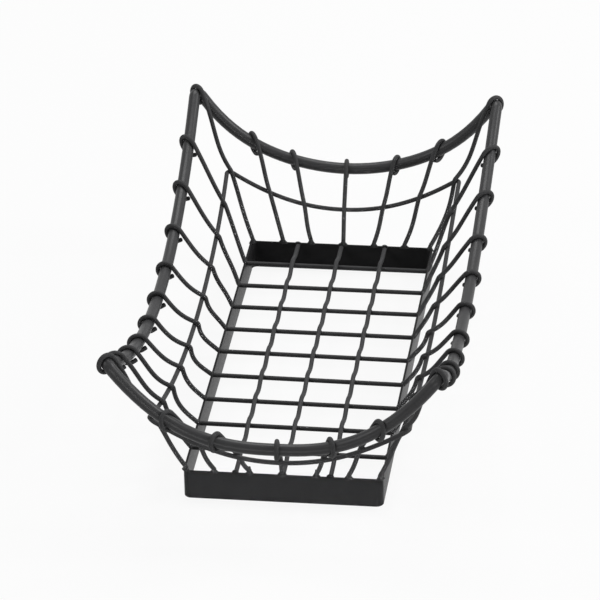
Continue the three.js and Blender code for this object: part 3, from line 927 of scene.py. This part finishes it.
# %% [markdown]
# There are four kinds of crossing: wall wires over the ring, floor wires over each other, the
# crosswise wires sunk into the strap's edge, and the ends of the lengthwise wires against its
# inner face. Only the sizes and directions differ.

# %% Weld webs
RING_WEB = Vector((1.55, 1.55, 0.85))
FLOOR_WEB = Vector((1.5, 1.5, 0.8))
EDGE_WEB, EDGE_WEB_SINK = Vector((0.95, 2.5, 0.75)), 0.1
FACE_WEB, FACE_WEB_SINK = Vector((2.0, 1.6, 0.7)), 0.3

webs = [(place, way, RING_WEB) for place, way in crossings]
for k in range(1 - CELLS_ALONG // 2, CELLS_ALONG // 2):
    for i in range(1 - CELLS_ACROSS // 2, CELLS_ACROSS // 2):
        share = (i * FLOOR_PITCH + STRAP_X) / (2 * STRAP_X)
        contact = floor_ends[-1, k].lerp(floor_ends[1, k], share) + UP * WELDED / 2
        webs.append((contact, UP, FLOOR_WEB))
    for sx in (-1, 1):
        seat = floor_ends[sx, k].copy()
        seat.z = BAND_HEIGHT - EDGE_WEB_SINK
        webs.append((seat, UP, EDGE_WEB))
for i in range(1 - CELLS_ACROSS // 2, CELLS_ACROSS // 2):
    for sy in (-1, 1):
        end = Vector((i * FLOOR_PITCH, sy * INNER_Y, BAND_HEIGHT - FACE_WEB_SINK))
        webs.append((end, Vector((0, 1, 0)), FACE_WEB))
weld_webs = bake("weld_webs", weld_points("weld_webs", webs), weld_web, {
    "Seed": 4, "Unevenness": 0.25 * MM, "Material": weld_coat})
finish_piece(weld_webs, "wire")
print(len(webs), "weld webs of", len(weld_webs.data.polygons) // len(webs), "faces")

# %% [markdown]
# A wire that stands on the strap's narrow edge is welded with more metal: it runs out along the
# edge to both sides, as a skirt with a hollow flare. The skirt is a short upright sweep whose
# radius falls as a power of the height, flattened across the strap. The tree makes it at full
# size, so its points carry plain shares where those of the webs carry millimetres.

# %% Welded feet
SKIRT_SIDES, SKIRT_RINGS = 14, 7
SKIRT_SINK = 0.5
SKIRT_SHARES = Vector((1.0, 0.5, 1.0))  # along the edge, across it, upward


def skirt_tree():
    tree, given = geometry_tree("weld_skirts", {
        "Seed": "Int", "Rise": "Float", "Waist": "Float", "Flare": "Float",
        "Hollow": "Float", "Unevenness": "Float", "Material": "Material"})
    top = tree.add("ShaderNodeCombineXYZ", None, {"Z": given["Rise"]})
    line = tree.add("GeometryNodeCurvePrimitiveLine", {"mode": "POINTS"}, {"End": top})
    fine = tree.add("GeometryNodeResampleCurve", {"mode": "COUNT"}, {
        "Curve": line, "Count": SKIRT_RINGS})
    left = 1 - tree.add("GeometryNodeSplineParameter", output="Factor")
    radius = given["Waist"] + given["Flare"] * left ** given["Hollow"]
    circle = tree.add("GeometryNodeCurvePrimitiveCircle", {"mode": "RADIUS"}, {
        "Resolution": SKIRT_SIDES, "Radius": 1.0})
    skirt = tree.add("GeometryNodeCurveToMesh", None, {
        "Curve": fine, "Profile Curve": circle, "Scale": radius, "Fill Caps": True})
    turn = tree.add("FunctionNodeAlignRotationToVector", {"axis": "X"}, {
        "Vector": stored(tree, "weld_way")})
    chance = tree.add("FunctionNodeRandomValue", {"data_type": "FLOAT_VECTOR"}, {
        "Min": (0.85, 0.95, 0.8), "Max": (1.15, 1.05, 1.15), "Seed": given["Seed"]})
    size = product(tree, stored(tree, "weld_size"), chance)
    skirts = tree.add("GeometryNodeInstanceOnPoints", None, {
        "Points": given["Geometry"], "Instance": skirt, "Rotation": turn, "Scale": size})
    real = tree.add("GeometryNodeRealizeInstances", None, {"Geometry": skirts})
    rough = uneven(tree, real, given["Unevenness"])
    smooth = tree.add("GeometryNodeSetShadeSmooth", None, {"Geometry": rough})
    return close_tree(tree, smooth, given["Material"])


skirts = [(foot - UP * SKIRT_SINK, way, SKIRT_SHARES / MM) for foot, way in feet]
weld_skirts = bake("weld_skirts", weld_points("weld_skirts", skirts), skirt_tree(), {
    "Seed": 9, "Rise": 4.2 * MM, "Waist": 0.7 * MM, "Flare": 2.3 * MM, "Hollow": 1.8,
    "Unevenness": 0.2 * MM, "Material": weld_coat})
finish_piece(weld_skirts, "wire")
print(len(skirts), "welded feet")

# %% [markdown]
# Each piece is measured at the end. Faces that point inward would give it a negative volume,
# and a seam left open shows as an edge without two faces.

# %% Check and finish
def volume_and_open_edges(piece):
    work = bmesh.new()
    work.from_mesh(piece.data)
    open_edges = sum(1 for edge in work.edges if not edge.is_manifold)
    volume = work.calc_volume(signed=True) / MM**3
    work.free()
    return volume, open_edges


for piece in made:
    volume, open_edges = volume_and_open_edges(piece)
    if volume < 0 or open_edges:
        print("LOOK AT", piece.name, round(volume), open_edges)
print(len(made), "pieces,", sum(len(p.data.polygons) for p in made), "faces")
